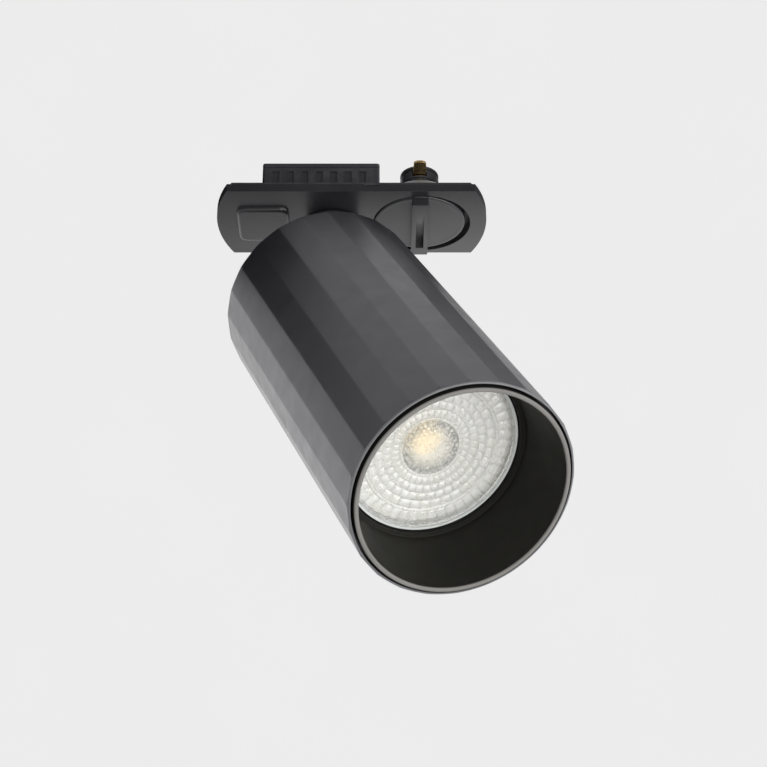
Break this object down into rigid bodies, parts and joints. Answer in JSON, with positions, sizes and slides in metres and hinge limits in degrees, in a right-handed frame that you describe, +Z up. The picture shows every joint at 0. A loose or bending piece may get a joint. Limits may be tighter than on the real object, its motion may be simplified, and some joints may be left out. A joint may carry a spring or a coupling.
{
  "type": "track spotlight",
  "caption": "Black track spotlight: a flat track adapter with a quarter-turn locking knob, a short arm that pans, and a long faceted cylindrical head that tilts, with a recessed reflector lamp.",
  "frame": {"origin": "centre of the adapter, in the plane of the track's underside", "axes": "+X runs along the track towards the locking knob, +Z points up into the track"},
  "size_m": [0.1032, 0.1182, 0.1639],
  "materials": {
    "satin_black": "satin powder coat",
    "black_plastic": "satin moulded",
    "snoot_black": "matt",
    "zinc_steel": "zinc plated",
    "brass": "bright",
    "ceramic": "unglazed ceramic",
    "white_plastic": "satin white",
    "lamp_lens": "clear, ribbed and dimpled",
    "phosphor": "matt",
    "circuit_board": "varnished",
    "rubber": "matt",
    "brown_insulation": "satin",
    "blue_insulation": "satin"
  },
  "bodies": {
    "adapter": {"adapter_plate": "black_plastic", "adapter_base": "black_plastic", "housing_lid": "black_plastic", "lid_screw_1": "zinc_steel", "lid_screw_2": "zinc_steel", "plate_screw_1": "zinc_steel", "plate_screw_2": "zinc_steel", "plate_screw_3": "zinc_steel", "pan_bush": "white_plastic", "fixed_hook": "zinc_steel", "hook_screw": "zinc_steel", "earth_contact": "brass", "terminal_block": "white_plastic", "terminal_screw_1": "brass", "terminal_screw_2": "brass"},
    "knob": {"locking_knob": "black_plastic", "knob_shaft": "zinc_steel", "lock_plate": "zinc_steel", "contact_carrier": "black_plastic", "live_contact": "brass", "neutral_contact": "brass", "spindle_clip": "zinc_steel"},
    "arm": {"stem_tube": "satin_black", "stem_grub_screw": "zinc_steel", "stem_nipple": "brass", "stop_washer": "zinc_steel", "pan_nut": "zinc_steel", "knuckle": "satin_black"},
    "head": {"head_body": "satin_black", "rear_cap": "satin_black", "cap_grommet": "rubber", "cap_screw_1": "zinc_steel", "cap_screw_2": "zinc_steel", "hinge_bracket": "satin_black", "bracket_screw_1": "zinc_steel", "bracket_screw_2": "zinc_steel", "friction_washer_1": "white_plastic", "friction_washer_2": "white_plastic", "tilt_screw": "zinc_steel", "tilt_nut": "zinc_steel", "snoot": "snoot_black", "snoot_grip_ring": "rubber", "lamp_bezel": "white_plastic", "lamp_lens": "lamp_lens", "lamp_shell": "white_plastic", "led_board": "white_plastic", "led_chip": "phosphor", "lamp_base": "white_plastic", "lamp_pin_1": "zinc_steel", "lamp_pin_2": "zinc_steel", "driver_board": "circuit_board", "driver_capacitor": "black_plastic", "lampholder": "ceramic", "holder_bracket": "zinc_steel", "holder_screw_1": "zinc_steel", "holder_screw_2": "zinc_steel", "live_lead": "brown_insulation", "neutral_lead": "blue_insulation"}
  },
  "joints": [
    {"name": "knob_turn", "type": "hinge", "parent": "adapter", "child": "knob", "pos_m": [0.0217, 0, 0], "axis": [0, 0, 1], "range_deg": [0, 90]},
    {"name": "pan", "type": "hinge", "parent": "adapter", "child": "arm", "pos_m": [-0.0062, 0, 0], "axis": [0, 0, 1], "range_deg": [-165, 165]},
    {"name": "tilt", "type": "hinge", "parent": "arm", "child": "head", "pos_m": [-0.0062, 0, -0.0379], "axis": [-0.8599, -0.5105, 0], "range_deg": [-38.5, 21.5]}
  ]
}
